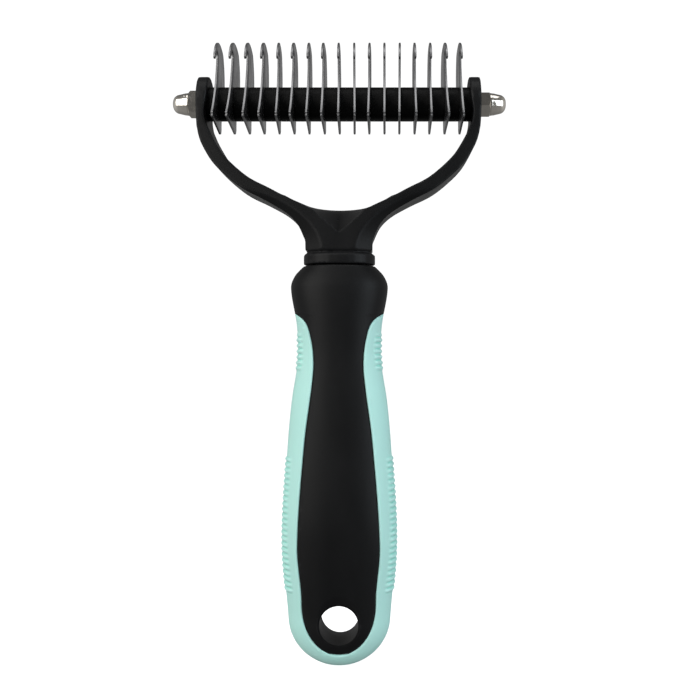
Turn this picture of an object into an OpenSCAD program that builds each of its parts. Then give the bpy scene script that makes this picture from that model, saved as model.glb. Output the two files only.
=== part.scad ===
// Pet dematting rake: seventeen hooked steel blades clamped on an axle between
// the arms of a fork, which is fixed in a two-material handle with a hang hole.
// Millimetres. Origin at the middle of the hang hole, +Z along the handle towards
// the blades, the hooks face -Y, and the axle runs along X.

/* [Handle] */
// Length of the handle from its lower end to the mouth that takes the fork
handle_l = 119.6; // [100:0.1:145]
// Width at the mouth, under the fork's collar
mouth_w = 21.2; // [18:0.1:24]
// Width over the black shoulder below the mouth
shoulder_w = 29; // [25:0.1:35]
// Width at the finger waist
waist_w = 24.8; // [20:0.1:30]
// Width at the palm swell
palm_w = 34.2; // [28:0.1:41]
// Width where the rounded end begins
end_w = 31; // [25:0.1:37]
// Thickness at the mouth
mouth_t = 17.2; // [15:0.1:21]
// Thickness at the shoulder
shoulder_t = 20.8; // [17:0.1:25]
// Thickness at the waist
waist_t = 19; // [16:0.1:23]
// Thickness at the palm swell
palm_t = 21.8; // [18:0.1:26]
// Thickness where the rounded end begins
end_t = 15.6; // [13:0.1:19]
// Length of the rounded end
end_l = 14.7; // [10:0.1:18]

/* [Hang hole] */
// Diameter of the hang hole
hang_d = 11.5; // [8:0.1:14]
// Distance from the middle of the hang hole to the handle's lower end
hang_from_end = 13.7; // [11:0.1:17]
// Width of the bevel round each mouth of the hang hole
hang_bevel = 1.2; // [0.4:0.1:2]

/* [Grip] */
// Thickness of the soft grip on the sides
grip_wall = 2.6; // [1.5:0.1:3.5]
// Narrowest width of the hard panel between the two sides of the grip
panel_waist_w = 14.5; // [11:0.1:18]
// Widest width of the hard panel
panel_palm_w = 24.1; // [19:0.1:28]
// Height of the soft grip below the panel at the lower end
grip_below_panel = 5.9; // [4:0.1:8]
// Distance from the handle's mouth down to where the grip starts
grip_from_mouth = 12.8; // [9:0.1:18]

/* [Fork] */
// Height of the axle above the top of the fork's collar
axle_h = 45.1; // [38:0.1:55]
// Depth of the fork's arms, front to back
fork_depth = 16; // [13:0.1:19]
// Thickness of each arm at its eye
eye_t = 2.5; // [2:0.1:3]
// Thickness of each arm at its bend
bend_t = 3.8; // [3:0.1:5]
// Width of the fork's neck above the collar
neck_w = 19.8; // [16:0.1:22]
// Width of the collar
collar_w = 21.4; // [19:0.1:26]
// Depth of the collar, front to back
collar_t = 17.4; // [15:0.1:21]
// Height of the collar
collar_h = 3.2; // [2:0.1:4]
// Gap between the collar and the handle's mouth
collar_gap = 0.3; // [0.1:0.1:0.6]
// Length of the tang inside the handle
tang_l = 42; // [30:0.5:55]
// Width of the tang
tang_w = 10; // [8:0.1:12]
// Thickness of the tang
tang_t = 7; // [5:0.1:9]
// Height of the barbs that lock the tang in its socket
barb = 0.8; // [0.4:0.1:1.2]

/* [Blades] */
// Number of blades
blade_count = 17; // [9:1:17]
// Thickness of a blade
blade_t = 0.6; // [0.5:0.05:1]
// Size of a blade against its drawn outline
blade_scale = 1; // [0.8:0.05:1.1]
// Length of the spacers between blades
spacer_l = 3.9; // [2.5:0.1:5]
// Length of the spacers at the two ends
end_spacer_l = 3; // [2:0.1:5]
// Outer diameter of the spacers
spacer_d = 10; // [8:0.1:12]

/* [Axle and nuts] */
// Diameter of the axle
axle_d = 4; // [3:0.1:5]
// Width across the flats of a cap nut
nut_af = 7; // [6.5:0.1:9]
// Height of the nut's hexagon
nut_hex_h = 3.2; // [2.5:0.1:4.5]
// Diameter of the nut's dome
dome_d = 6.5; // [6:0.1:8]
// Height of the nut, dome included
nut_h = 8; // [7:0.1:10]
// Depth of the nut's blind thread
nut_bore_l = 6.2; // [5:0.1:7]
// Length of axle inside a nut
nut_engaged = 5.6; // [4:0.1:6]
// Outer diameter of a washer
washer_d = 9; // [8:0.1:10]
// Thickness of a washer
washer_t = 0.8; // [0.5:0.1:1.2]

/* [Fits] */
// Radial clearance of the axle in the fork, the blades and the nuts
run_fit = 0.05; // [0.02:0.01:0.08]
// Radial clearance of the axle in spacers and washers
loose_fit = 0.15; // [0.1:0.01:0.3]
// Clearance round the tang in its socket
socket_fit = 0.1; // [0.05:0.05:0.3]
// Radial clearance round a washer or an end spacer in its seat
seat_fit = 0.3; // [0.2:0.05:0.5]

/* [Hidden] */
BLADES = [for (i = [1 : blade_count]) str("blade_", i < 10 ? "0" : "", i)];
SPACERS = [for (i = [1 : blade_count + 1]) str("spacer_", i < 10 ? "0" : "", i)];

BLACK = [0.05, 0.05, 0.055];
MINT = [0.62, 0.88, 0.82];
STEEL = [0.62, 0.62, 0.63];
NICKEL = [0.80, 0.77, 0.70];

handle_end_z = -hang_from_end;
mouth_z = handle_end_z + handle_l;
collar_z = mouth_z + collar_gap;
collar_top_z = collar_z + collar_h;
axle_z = collar_top_z + axle_h;
grip_top_z = mouth_z - grip_from_mouth;

blade_pitch = blade_t + spacer_l;
pack_l = (blade_count - 1) * blade_pitch + blade_t + 2 * end_spacer_l;
eye_in = pack_l / 2;
eye_out = eye_in + eye_t;
eye_r = fork_depth / 2;
axle_l = 2 * (eye_out + nut_engaged);
big = 400;

// Value at f of the smooth curve through a table of [f, value] rows
function slope(tab, i) =
    let (a = tab[max(i - 1, 0)], b = tab[min(i + 1, len(tab) - 1)]) (b[1] - a[1]) / (b[0] - a[0]);
function curve_at(tab, f) =
    let (i = max([0, for (k = [0 : len(tab) - 2]) if (f >= tab[k][0]) k]),
         a = tab[i], b = tab[i + 1], d = b[0] - a[0], u = (f - a[0]) / d)
    a[1] * (2 * pow(u, 3) - 3 * pow(u, 2) + 1) + b[1] * (3 * pow(u, 2) - 2 * pow(u, 3))
    + d * slope(tab, i) * (pow(u, 3) - 2 * pow(u, 2) + u)
    + d * slope(tab, i + 1) * (pow(u, 3) - pow(u, 2));

// Points on the smooth curve through a list of points, with n steps to each stretch
function bend_at(p, i, u) =
    let (a = p[max(i - 1, 0)], b = p[i], c = p[i + 1], d = p[min(i + 2, len(p) - 1)])
    0.5 * (2 * b + (c - a) * u + (2 * a - 5 * b + 4 * c - d) * u * u + (3 * b - a - 3 * c + d) * u * u * u);
function smooth(p, n) =
    concat([for (i = [0 : len(p) - 2], k = [0 : n - 1]) bend_at(p, i, k / n)], [p[len(p) - 1]]);

// Points on the arc that starts at a, passes through b and ends at c
function centre3(a, b, c) =
    let (d = 2 * (a.x * (b.y - c.y) + b.x * (c.y - a.y) + c.x * (a.y - b.y)))
    [(a * a * (b.y - c.y) + b * b * (c.y - a.y) + c * c * (a.y - b.y)) / d,
     (a * a * (c.x - b.x) + b * b * (a.x - c.x) + c * c * (b.x - a.x)) / d];
function arc3(a, b, c, n = 6) =
    let (o = centre3(a, b, c), r = norm(a - o), turn = cross(b - a, c - b) > 0 ? 1 : -1,
         from = atan2(a.y - o.y, a.x - o.x), to = atan2(c.y - o.y, c.x - o.x),
         sweep = turn * ((turn * (to - from) + 720) % 360))
    [for (i = [0 : n]) o + r * [cos(from + sweep * i / n), sin(from + sweep * i / n)]];

function mix(a, b, k) = a + (b - a) * k;
function mirrored(p) = concat(p, [for (i = [len(p) - 1 : -1 : 0]) [-p[i].x, p[i].y]]);

// ---- Handle ----

// Half width and half thickness along the handle, from 0 at its lower end to 1 at its mouth
end_f = end_l / handle_l;
WIDTHS = [
    [end_f, end_w / 2], [0.31, palm_w / 2], [0.54, mix(waist_w, palm_w, 0.7) / 2],
    [0.66, mix(waist_w, palm_w, 0.42) / 2], [0.77, waist_w / 2], [0.85, mix(waist_w, shoulder_w, 0.15) / 2],
    [0.945, shoulder_w / 2], [0.975, mix(mouth_w, shoulder_w, 0.7) / 2], [1, mouth_w / 2]];
THICKNESSES = [
    [end_f, end_t / 2], [0.38, palm_t / 2], [0.77, waist_t / 2],
    [0.945, shoulder_t / 2], [1, mouth_t / 2]];

RING_POINTS = 32;
ROUNDNESS = 2.4;
END_STEPS = 8;
BODY_STEPS = 34;
function superellipse(a, b) =
    [for (i = [0 : RING_POINTS - 1])
        let (c = cos(360 * i / RING_POINTS), s = sin(360 * i / RING_POINTS))
        [a * sign(c) * pow(abs(c), 2 / ROUNDNESS), b * sign(s) * pow(abs(s), 2 / ROUNDNESS)]];
function ring(a, b, z) = [for (p = superellipse(a, b)) [p.x, p.y, z]];

// Rings of the handle's outer form, or of that form drawn in by a wall
function end_ring(k, wall) =
    let (q = 86 * (1 - k / END_STEPS), h = end_l - wall)
    ring((end_w / 2 - wall) * cos(q), (end_t / 2 - wall) * sqrt(cos(q)), handle_end_z + end_l - h * sin(q));
function body_ring(k, wall, f_top) =
    let (f = mix(end_f, f_top, k / BODY_STEPS))
    ring(curve_at(WIDTHS, f) - wall, curve_at(THICKNESSES, f) - wall, handle_end_z + f * handle_l);
function handle_rings(wall, f_top) = concat(
    [for (k = [0 : END_STEPS - 1]) end_ring(k, wall)],
    [for (k = [0 : BODY_STEPS]) body_ring(k, wall, f_top)]);

module loft(rings) {
    n = RING_POINTS;
    m = len(rings);
    polyhedron(
        points = [for (r = rings, p = r) p],
        faces = concat(
            [[for (i = [0 : n - 1]) i], [for (i = [n - 1 : -1 : 0]) (m - 1) * n + i]],
            [for (j = [0 : m - 2], i = [0 : n - 1])
                let (a = j * n + i, b = j * n + (i + 1) % n) each [[a, a + n, b], [b, a + n, b + n]]]));
}

// Half width of the hard panel along the handle; it ends in a half ellipse above the grip's lower bow
panel_low_z = handle_end_z + grip_below_panel;
panel_bow = 13.8;
panel_bow_z = panel_low_z + panel_bow;
function panel_z(f) = mix(panel_bow_z, grip_top_z, f);
PANEL = [
    [0, 0.9 * panel_palm_w / 2], [0.2, panel_palm_w / 2], [0.55, mix(panel_waist_w, panel_palm_w, 0.55) / 2],
    [0.74, mix(panel_waist_w, panel_palm_w, 0.1) / 2], [0.82, panel_waist_w / 2],
    [0.9, mix(panel_waist_w, shoulder_w, 0.12) / 2], [0.96, mix(panel_waist_w, shoulder_w, 0.42) / 2],
    [1, shoulder_w / 2 + 1]];
module panel_outline() {
    polygon(mirrored(concat(
        [for (q = [90 : -9 : 9]) [PANEL[0][1] * cos(q), panel_bow_z - panel_bow * sin(q)]],
        [for (k = [0 : 24]) [curve_at(PANEL, k / 24), panel_z(k / 24)]],
        [[shoulder_w, grip_top_z + 1], [shoulder_w, mouth_z + 1]])));
}
module panel_prism() {
    translate([0, fork_depth * 2, 0]) rotate([90, 0, 0]) linear_extrude(fork_depth * 4) panel_outline();
}

module handle_form() { loft(handle_rings(0, 1)); }
module core_form() { loft(handle_rings(grip_wall, (grip_top_z + 4 - handle_end_z) / handle_l)); }

module tang_bar(fit) {
    w = tang_w + 2 * fit;
    t = tang_t + 2 * fit;
    translate([-w / 2, -t / 2, mouth_z - tang_l - fit]) cube([w, t, tang_l + fit + collar_gap]);
    for (k = [1, 2])
        translate([-w / 2 - barb, -t / 2, mouth_z - tang_l * k / 2 + 2 - fit])
            cube([w + 2 * barb, t, 3 + 2 * fit]);
}

module hang_hole() {
    rotate([90, 0, 0]) cylinder(d = hang_d, h = big, center = true, $fn = 96);
}
function skin_y(z) = curve_at(THICKNESSES, max((z - handle_end_z) / handle_l, end_f));
module hang_bevels() {
    for (s = [-1, 1])
        translate([0, s * (skin_y(0) - hang_bevel), 0]) rotate([-90 * s, 0, 0])
            cylinder(d1 = hang_d, d2 = hang_d + 6 * hang_bevel, h = 3 * hang_bevel, $fn = 96);
}

module handle_core() {
    color(BLACK) difference() {
        union() {
            core_form();
            intersection() { handle_form(); panel_prism(); }
        }
        tang_bar(socket_fit);
        hang_hole();
        hang_bevels();
    }
}

module grip_sleeve() {
    color(MINT) difference() {
        handle_form();
        core_form();
        panel_prism();
    }
}

// ---- Fork ----

// Middle line of an arm: u from 0 at the neck's side to 1 at the eye, v from 0 at the collar to 1 at the axle
ARM_LINE = [
    [-0.06, 0.12], [0.02, 0.22], [0.149, 0.3], [0.351, 0.378], [0.58, 0.459],
    [0.794, 0.585], [0.899, 0.686], [0.968, 0.79], [1, 0.92], [1, 1.3]];
arm_x = eye_in + eye_t / 2;
function arm_point(p) = [mix(neck_w / 2, arm_x, p.x), collar_top_z + axle_h * p.y];
ARM_TAPER = [[0, 1.25 * bend_t], [0.25, bend_t], [0.7, bend_t], [0.88, eye_t], [1, eye_t]];
function arm_side(line, side) =
    [for (i = [0 : len(line) - 1])
        let (a = line[max(i - 1, 0)], b = line[min(i + 1, len(line) - 1)], d = (b - a) / norm(b - a),
             t = curve_at(ARM_TAPER, i / (len(line) - 1)))
        line[i] + side * t / 2 * [d.y, -d.x]];
module arm_outline() {
    line = smooth([for (p = ARM_LINE) arm_point(p)], 5);
    outer = arm_side(line, 1);
    inner = arm_side(line, -1);
    polygon(concat(outer, [for (i = [len(inner) - 1 : -1 : 0]) inner[i]]));
}

// Web between the arms: the neck below, the top edge of the crotch above
crotch_z = collar_top_z + 0.325 * axle_h;
function web_z(k) = mix(collar_top_z, crotch_z, k);
module web_outline() {
    polygon(mirrored(concat(
        [[neck_w / 2, collar_top_z], [neck_w / 2, web_z(0.25)], [neck_w / 2 + 1, web_z(0.6)]],
        smooth([[neck_w / 2 + 9, web_z(1.22)], [neck_w / 2 + 4, web_z(1.1)], [neck_w / 2, web_z(1.03)],
            [neck_w / 4, web_z(1)], [0, web_z(1)]], 4))));
}

// Plan of the fork: an oval at the neck that opens out to the arms' full depth above the crotch
module neck_blend() {
    top_z = web_z(1.15);
    hull() {
        translate([0, 0, collar_top_z]) linear_extrude(0.1) polygon(superellipse(neck_w / 2, fork_depth / 2));
        translate([-2 * neck_w, -fork_depth / 2, top_z]) cube([4 * neck_w, fork_depth, 0.1]);
    }
    translate([-eye_out, -fork_depth / 2, top_z]) cube([2 * eye_out, fork_depth, 2 * axle_h]);
}

// Side view of the fork: round about the axle, straight below it
module fork_side() {
    translate([0, axle_z]) circle(r = eye_r, $fn = 96);
    translate([-eye_r, collar_top_z]) square([2 * eye_r, axle_h]);
}

// The crotch falls away from the back edge to a notch in the front face
crotch_fall = 28.5;
module crotch_notch() {
    translate([0, -eye_r, mix(collar_top_z, crotch_z, 0.42)]) rotate([crotch_fall, 0, 0])
        rotate([90, 0, 0]) translate([0, 0, -3 * fork_depth]) linear_extrude(4 * fork_depth)
            polygon([[0, 0], [neck_w, neck_w * 0.82], [-neck_w, neck_w * 0.82]]);
}

// Flat seats for the washers outside the eyes and for the end spacers inside them
module seats() {
    for (s = [-1, 1])
        translate([s * (eye_out + big / 2 - washer_t), 0, axle_z]) rotate([0, 90, 0])
            cylinder(d = washer_d + 2 * seat_fit, h = big, center = true, $fn = 96);
    translate([0, 0, axle_z]) rotate([0, 90, 0])
        cylinder(d = spacer_d + 2 * seat_fit, h = 2 * eye_in, center = true, $fn = 96);
}

module fork() {
    color(BLACK) {
        difference() {
            intersection() {
                translate([0, big / 2, 0]) rotate([90, 0, 0]) linear_extrude(big) {
                    arm_outline();
                    mirror([1, 0]) arm_outline();
                    web_outline();
                }
                translate([-big / 2, 0, 0]) rotate([90, 0, 90]) linear_extrude(big) fork_side();
                neck_blend();
            }
            crotch_notch();
            translate([0, 0, axle_z]) rotate([0, 90, 0])
                cylinder(r = axle_d / 2 + run_fit, h = big, center = true, $fn = 96);
            seats();
        }
        translate([0, 0, collar_z]) linear_extrude(collar_h) polygon(superellipse(collar_w / 2, collar_t / 2));
        tang_bar(0);
    }
}

// ---- Blades, spacers and axle ----

// Outline of a blade round its bore: x to the back, y up. The hook and the concave edge face forward,
// and the blunt nose carries two small beads
module blade_outline() {
    scale(blade_scale) difference() {
        polygon(concat(
            arc3([-13.3, -4.1], [-7.4, 3.2], [-4.5, 11], 8),
            arc3([-4.1, 12.3], [-4.9, 14.4], [-6.6, 13.4], 6),
            arc3([-7.6, 11.7], [-8.4, 11.3], [-9.1, 11.8], 4),
            arc3([-8.8, 13.1], [-6.9, 15.4], [-3.8, 17.3], 6),
            arc3([-2.8, 17.7], [0.8, 17.7], [4.6, 16.5], 6),
            arc3([5.6, 15.9], [8, 12], [8.9, 7.5], 7),
            arc3([8.8, 6.5], [6.9, 0.5], [3.2, -4.6], 6),
            arc3([3, -6.6], [2.3, -8.5], [0.8, -8.9], 4),
            arc3([-12.6, -7.3], [-13.7, -6.3], [-13.4, -5.5], 5),
            arc3([-13.4, -5.3], [-13.8, -4.6], [-13.5, -4.2], 3)));
        circle(r = (axle_d / 2 + run_fit) / blade_scale, $fn = 64);
    }
}

function blade_x(i) = (i - (blade_count - 1) / 2) * blade_pitch;
module blade(i) {
    color(STEEL) translate([blade_x(i) - blade_t / 2, 0, axle_z]) rotate([90, 0, 90])
        linear_extrude(blade_t) blade_outline();
}

edge = 0.3;
module tube(x, l, d, bore) {
    translate([x, 0, axle_z]) rotate([0, 90, 0]) rotate_extrude($fn = 96)
        polygon([[bore / 2, 0], [d / 2 - edge, 0], [d / 2, edge], [d / 2, l - edge],
            [d / 2 - edge, l], [bore / 2, l]]);
}

spacer_bore = axle_d + 2 * loose_fit;
module spacer(i) {
    first = i == 0;
    last = i == blade_count;
    x = first ? -eye_in : blade_x(i - 1) + blade_t / 2;
    color(BLACK) tube(x, first || last ? end_spacer_l : spacer_l, spacer_d, spacer_bore);
}

module axle() {
    bevel = 0.4;
    color(STEEL) translate([-axle_l / 2, 0, axle_z]) rotate([0, 90, 0]) rotate_extrude($fn = 96)
        polygon([[0, 0], [axle_d / 2 - bevel, 0], [axle_d / 2, bevel], [axle_d / 2, axle_l - bevel],
            [axle_d / 2 - bevel, axle_l], [0, axle_l]]);
}

// ---- Washers and cap nuts, drawn for the right side and mirrored for the left ----

module washer() {
    color(NICKEL) tube(eye_out - washer_t, washer_t, washer_d, spacer_bore);
}

module cap_nut() {
    corner_d = nut_af / cos(30);
    color(NICKEL) translate([eye_out, 0, axle_z]) rotate([0, 90, 0]) difference() {
        union() {
            intersection() {
                cylinder(d = corner_d, h = nut_hex_h, $fn = 6);
                cylinder(d1 = corner_d + 2 * nut_hex_h, d2 = corner_d - 0.9, h = nut_hex_h, $fn = 96);
            }
            cylinder(d = dome_d, h = nut_h - dome_d / 2, $fn = 96);
            translate([0, 0, nut_h - dome_d / 2]) sphere(d = dome_d, $fn = 96);
        }
        translate([0, 0, -1]) cylinder(r = axle_d / 2 + run_fit, h = nut_bore_l + 1, $fn = 96);
    }
}

fork();
handle_core();
grip_sleeve();
axle();
for (i = [0 : blade_count - 1]) blade(i);
for (i = [0 : blade_count]) spacer(i);
mirror([1, 0, 0]) washer();  // washer_left
washer();  // washer_right
mirror([1, 0, 0]) cap_nut();  // cap_nut_left
cap_nut();  // cap_nut_right
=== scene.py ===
"""Pet dematting rake: a two-material handle, a moulded fork, and a row of hooked blades on an axle.

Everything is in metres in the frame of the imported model: the origin is the middle of the hang hole, +Z runs
along the handle towards the blades, the hooks face -Y and the axle runs along X.
"""

import math
import random

import bmesh
import bpy
import numpy as np
from bpy.props import FloatProperty, FloatVectorProperty, IntProperty, PointerProperty
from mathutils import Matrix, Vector


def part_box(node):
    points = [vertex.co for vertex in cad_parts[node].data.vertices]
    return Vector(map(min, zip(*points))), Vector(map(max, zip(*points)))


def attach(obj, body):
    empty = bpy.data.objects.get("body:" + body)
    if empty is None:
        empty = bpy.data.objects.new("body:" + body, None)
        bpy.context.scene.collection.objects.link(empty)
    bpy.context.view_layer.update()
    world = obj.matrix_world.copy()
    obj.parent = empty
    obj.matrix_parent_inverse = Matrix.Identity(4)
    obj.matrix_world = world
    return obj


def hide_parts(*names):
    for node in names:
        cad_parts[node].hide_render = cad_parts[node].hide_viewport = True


bl_info = {
    "name": "Pet dematting rake",
    "version": (1, 0, 0),
    "blender": (4, 5, 0),
    "location": "View3D > Sidebar > Rake",
    "description": "Builds a dematting rake with a soft-grip handle, a fork and a row of hooked blades",
    "category": "Add Mesh",
}

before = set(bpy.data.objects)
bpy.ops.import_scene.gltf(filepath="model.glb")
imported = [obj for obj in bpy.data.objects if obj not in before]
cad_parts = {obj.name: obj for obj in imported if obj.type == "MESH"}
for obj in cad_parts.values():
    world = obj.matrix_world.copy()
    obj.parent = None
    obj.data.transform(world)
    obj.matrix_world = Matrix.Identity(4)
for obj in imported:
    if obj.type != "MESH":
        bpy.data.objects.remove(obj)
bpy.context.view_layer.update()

MM = 0.001
BLADES = sorted(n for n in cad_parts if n.startswith("blade_"))
SPACERS = sorted(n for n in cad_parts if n.startswith("spacer_"))
SIDES = {"left": -1, "right": 1}
HANDLE_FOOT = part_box("grip_sleeve")[0].z
HANDLE_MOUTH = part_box("handle_core")[1].z
EYE_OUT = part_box("washer_right")[1].x
AXLE_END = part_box("axle")[1].x
AXLE = sum(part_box("axle"), Vector()) / 2
AXLE_RADIUS = (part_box("axle")[1].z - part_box("axle")[0].z) / 2
FORK_HALF = 8 * MM                        # half of the fork's depth, front to back
COLLAR_TOP = HANDLE_MOUTH + 3.5 * MM
BORE_PLAY, WASHER_PLAY = 0.05 * MM, 0.15 * MM
DRILL_REACH = 3 * MM


# ---- Sizes and colours ----

def length(label, text, value):
    """A length in metres that can be changed in the sidebar."""
    return FloatProperty(name=label, description=text, default=value, unit="LENGTH", min=0.0, precision=5)


def colour(label, text, value):
    """A linear colour that can be changed in the sidebar."""
    return FloatVectorProperty(name=label, description=text, default=value, subtype="COLOR",
                               size=3, min=0.0, max=1.0)


class RakeSizes(bpy.types.PropertyGroup):
    """Sizes of the rake's visible pieces"""
    mouth_w: length("Mouth width", "Width of the handle under the fork's collar", 0.0212)
    shoulder_w: length("Shoulder width", "Width over the black shoulder", 0.029)
    waist_w: length("Waist width", "Width of the handle at the finger waist", 0.0248)
    palm_w: length("Palm width", "Width of the handle at the palm swell", 0.0339)
    end_w: length("End width", "Width where the rounded end begins", 0.0306)
    mouth_t: length("Mouth thickness", "Thickness of the handle at its mouth", 0.0172)
    shoulder_t: length("Shoulder thickness", "Thickness of the handle at the shoulder", 0.0208)
    waist_t: length("Waist thickness", "Thickness of the handle at the waist", 0.019)
    palm_t: length("Palm thickness", "Thickness of the handle at the palm swell", 0.0218)
    end_t: length("End thickness", "Thickness where the rounded end begins", 0.0156)
    end_l: length("End length", "Length of the handle's rounded end", 0.0147)
    hang_d: length("Hang hole", "Diameter of the hang hole", 0.0115)
    hang_lip: length("Hang hole lip", "Radius of the rounded lip of the hang hole", 0.0015)
    panel_waist_w: length("Panel at the waist", "Narrowest width of the black panel", 0.0145)
    panel_palm_w: length("Panel at the palm", "Widest width of the black panel", 0.0241)
    panel_low: length("Grip below the panel", "Height of the soft grip under the panel", 0.0045)
    panel_top: length("Shoulder height", "Distance from the mouth down to the soft grip", 0.0128)
    seam_gap: length("Seam", "Width of the seam between the panel and the grip", 0.00022)
    seam_round: length("Seam rounding", "Radius of the edges along the seam", 0.0005)
    rib_pitch: length("Rib pitch", "Distance from one grip rib to the next", 0.00168)
    rib_rise: length("Rib height", "Height of the grip's ribs", 0.0005)
    fork_soften: IntProperty(name="Fork softening", description="Passes that round the fork's moulded edges",
                             default=5, min=0, max=40)
    blade_t: length("Blade thickness", "Thickness of a blade", 0.0007)
    blade_edge: length("Ground edge", "Width of the ground bevel round a blade", 0.00045)
    blade_hone: length("Honed edge", "Extra width of the bevel on the cutting edge", 0.0019)
    blade_twist: FloatProperty(name="Blade twist", subtype="ANGLE", default=math.radians(1.5),
                               description="Most that a blade is turned on the axle's spacers")
    nut_af: length("Nut across flats", "Width across the flats of a cap nut", 0.007)
    nut_hex_h: length("Nut hexagon", "Height of a cap nut's hexagon", 0.0032)
    thread_pitch: length("Thread pitch", "Pitch of the axle's threaded ends", 0.0007)


class RakeColours(bpy.types.PropertyGroup):
    """Colours of the rake's finishes"""
    black: colour("Black plastic", "Moulded plastic of the fork and the handle", (0.0062, 0.0063, 0.0067))
    mint: colour("Mint rubber", "Soft rubber of the grip", (0.56, 0.96, 0.885))
    steel: colour("Blade steel", "Polished stainless steel of the blades", (0.56, 0.56, 0.57))
    nickel: colour("Nickel", "Bright plating of the cap nuts and washers", (0.80, 0.76, 0.69))
    floor: colour("Floor", "Plain pale floor", (0.9, 0.9, 0.9))


# ---- Workshop helpers ----

def put_down():
    """Leaves edit mode and selects nothing."""
    if bpy.context.mode != "OBJECT":
        bpy.ops.object.mode_set(mode="OBJECT")
    bpy.ops.object.select_all(action="DESELECT")


def take(piece):
    """Makes a piece the only one selected, and the active one."""
    put_down()
    piece.select_set(True)
    bpy.context.view_layer.objects.active = piece


def edit(piece, kind="FACE", everything=False):
    """Opens a piece in edit mode, to pick faces, edges or points."""
    take(piece)
    bpy.ops.object.mode_set(mode="EDIT")
    bpy.ops.mesh.select_mode(type=kind)
    bpy.ops.mesh.select_all(action="SELECT" if everything else "DESELECT")


def pick_faces(piece, test):
    """Selects the faces that pass the test, in edit mode."""
    mesh = bmesh.from_edit_mesh(piece.data)
    for face in mesh.faces:
        face.select = bool(test(face))
    mesh.select_flush_mode()
    bmesh.update_edit_mesh(piece.data)


def gather(piece, test):
    """Merges the points that pass the test into one."""
    edit(piece, "VERT")
    mesh = bmesh.from_edit_mesh(piece.data)
    for point in mesh.verts:
        point.select = bool(test(point))
    bmesh.update_edit_mesh(piece.data)
    bpy.ops.mesh.merge(type="CENTER")
    put_down()


def fix_place(piece):
    """Puts a piece's place, turn and scale into its mesh."""
    take(piece)
    bpy.ops.object.transform_apply(location=True, rotation=True, scale=True)


def named(name):
    """Names the primitive that was just added, and puts its place into its mesh."""
    piece = bpy.context.active_object
    piece.name = piece.data.name = name
    fix_place(piece)
    return piece


def close_up(piece):
    """Merges doubles and turns every face outwards."""
    edit(piece, everything=True)
    bpy.ops.mesh.remove_doubles(threshold=1e-7)
    bpy.ops.mesh.normals_make_consistent(inside=False)
    put_down()


def smooth(piece, degrees):
    """Shades a piece smooth, with edges sharper than this angle left crisp."""
    take(piece)
    bpy.ops.object.shade_smooth_by_angle(angle=math.radians(degrees))
    put_down()


def copy_of(piece, name, shift):
    """A copy with its own mesh, moved by shift."""
    take(piece)
    bpy.ops.object.duplicate(linked=False)
    twin = bpy.context.active_object
    twin.name = twin.data.name = name
    twin.location = shift
    fix_place(twin)
    return twin


def throw_away(piece):
    """Removes a piece and its mesh."""
    spent = piece.data
    bpy.data.objects.remove(piece)
    bpy.data.meshes.remove(spent)


def carve(piece, tool, operation="DIFFERENCE"):
    """Cuts a piece with a tool, which is used up."""
    take(piece)
    cut = piece.modifiers.new("cut", "BOOLEAN")
    cut.operation, cut.object, cut.solver = operation, tool, "EXACT"
    bpy.ops.object.modifier_apply(modifier=cut.name)
    throw_away(tool)
    put_down()


def both_ways(half):
    """Stations from end to end, out of the half that runs from one end in towards the middle."""
    near = [(-place, radius) for place, radius in half]
    return near + list(reversed(half))


def turned(name, stations, centre, along, sides):
    """A solid of revolution drawn out of a disc: each station is a distance along the axis and a radius."""
    centre, along = Vector(centre), Vector(along)
    across = [0.0 if abs(c) > 0.5 else 1.0 for c in along]
    put_down()
    place, radius = stations[0]
    bpy.ops.mesh.primitive_circle_add(vertices=sides, radius=radius, fill_type="NGON",
                                      location=centre + along * place,
                                      rotation=Vector((0, 0, 1)).rotation_difference(along).to_euler())
    piece = named(name)
    edit(piece, everything=True)
    for far, wide in stations[1:]:
        bpy.ops.mesh.extrude_region_move(TRANSFORM_OT_translate={"value": along * (far - place)})
        growth = [wide / radius if c else 1.0 for c in across]
        bpy.ops.transform.resize(value=growth, center_override=centre + along * far)
        place, radius = far, wide
    put_down()
    close_up(piece)
    return piece


def drill(piece, radius, start, end, centre, along=(1, 0, 0)):
    """Drills a bore from start to end, two distances from the centre along the axis."""
    carve(piece, turned("drill", [(start, radius), (end, radius)], centre, along, 48))


def finish_piece(piece, body, slot, material, *nodes):
    """Gives a piece its finish and its body, and hides the nodes of the frame that it stands for."""
    piece.data.materials.clear()
    piece.data.materials.append(material)
    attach(piece, body)
    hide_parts(*nodes)


# ---- Finishes ----

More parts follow.
